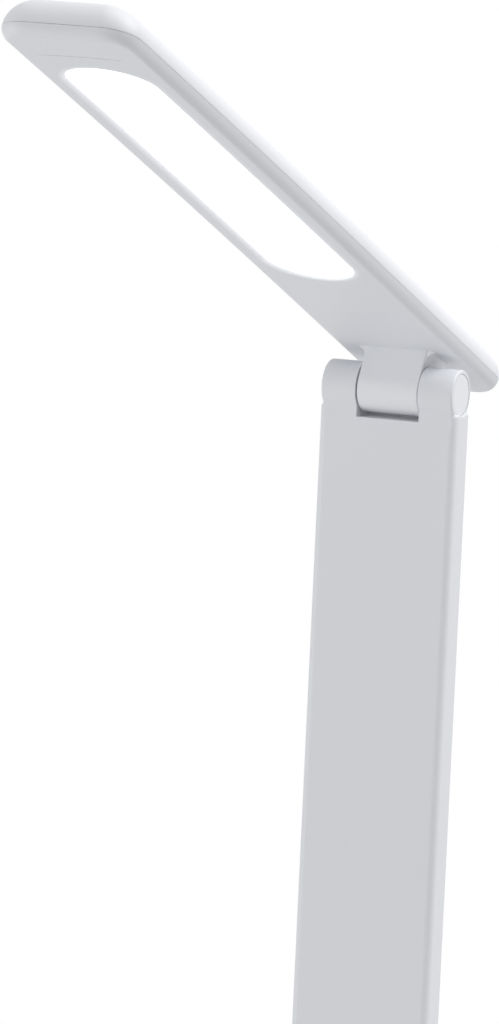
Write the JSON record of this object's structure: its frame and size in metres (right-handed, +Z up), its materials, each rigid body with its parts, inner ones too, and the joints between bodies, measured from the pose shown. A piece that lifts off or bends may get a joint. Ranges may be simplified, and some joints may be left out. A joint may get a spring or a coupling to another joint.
{
  "type": "folding led desk lamp",
  "caption": "Folding desk lamp: slim head with a lit stadium window, tilting on a flat arm that folds down over a weighted base with a push button.",
  "frame": {"origin": "middle of the underside of the base pad, on the desk", "axes": "+X across the lamp, -Y towards the user and along the head, +Z up"},
  "size_m": [0.118, 0.2525, 0.452],
  "materials": {
    "shell": "satin moulded plastic, white",
    "button": "satin moulded plastic, white",
    "diffuser": "opal, lit from behind",
    "inner_white": "white solder mask and moulded reflector",
    "led": "phosphor over a white package",
    "board": "green solder mask",
    "dark_plastic": "moulded black",
    "pad": "fine-grained foam rubber",
    "lead": "soft white insulation",
    "ballast": "oiled steel plate",
    "steel": "zinc-plated"
  },
  "bodies": {
    "base": {"lower_hinge_shaft": "steel", "lower_hinge_washers": "steel", "lower_hinge_nut": "steel", "base_cover": "shell", "base_plate": "shell", "base_pad": "pad", "base_screws": "steel", "ballast_plate": "ballast", "ballast_screws": "steel", "hinge_post": "shell", "post_screws": "steel", "control_board": "board", "board_parts": "dark_plastic", "board_screws": "steel", "tact_switch": "dark_plastic", "button_spring": "steel", "dc_socket": "dark_plastic", "socket_nut": "steel", "base_lead": "lead", "socket_lead": "dark_plastic"},
    "arm": {"arm_shell": "shell", "arm_cover": "shell", "arm_stiffener": "steel", "arm_screws": "steel", "arm_lead": "lead", "upper_hinge_caps": "shell", "lower_hinge_caps": "shell"},
    "head": {"head_upper_shell": "shell", "head_lower_shell": "shell", "diffuser": "diffuser", "reflector_frame": "inner_white", "led_board": "inner_white", "leds": "led", "led_board_screws": "steel", "head_knuckle": "shell", "knuckle_plate": "steel", "knuckle_screws": "steel", "head_lead": "lead", "upper_hinge_shaft": "steel", "upper_hinge_washers": "steel", "upper_hinge_nut": "steel"},
    "button": {"power_button": "button"}
  },
  "joints": [
    {"name": "arm_fold", "type": "hinge", "parent": "base", "child": "arm", "pos_m": [0, 0.062, 0.043], "axis": [1, 0, 0], "range_deg": [-8.3, 96.7]},
    {"name": "head_tilt", "type": "hinge", "parent": "arm", "child": "head", "pos_m": [0, 0.09373, 0.31314], "axis": [1, 0, 0], "range_deg": [-67.7, 112.3]},
    {"name": "button_press", "type": "slide", "parent": "base", "child": "button", "axis": [0, 0, -1], "range_m": [0, 0.0008], "stiffness_N_per_m": 700, "springref_m": -0.001, "deforming": ["button_spring"]}
  ]
}
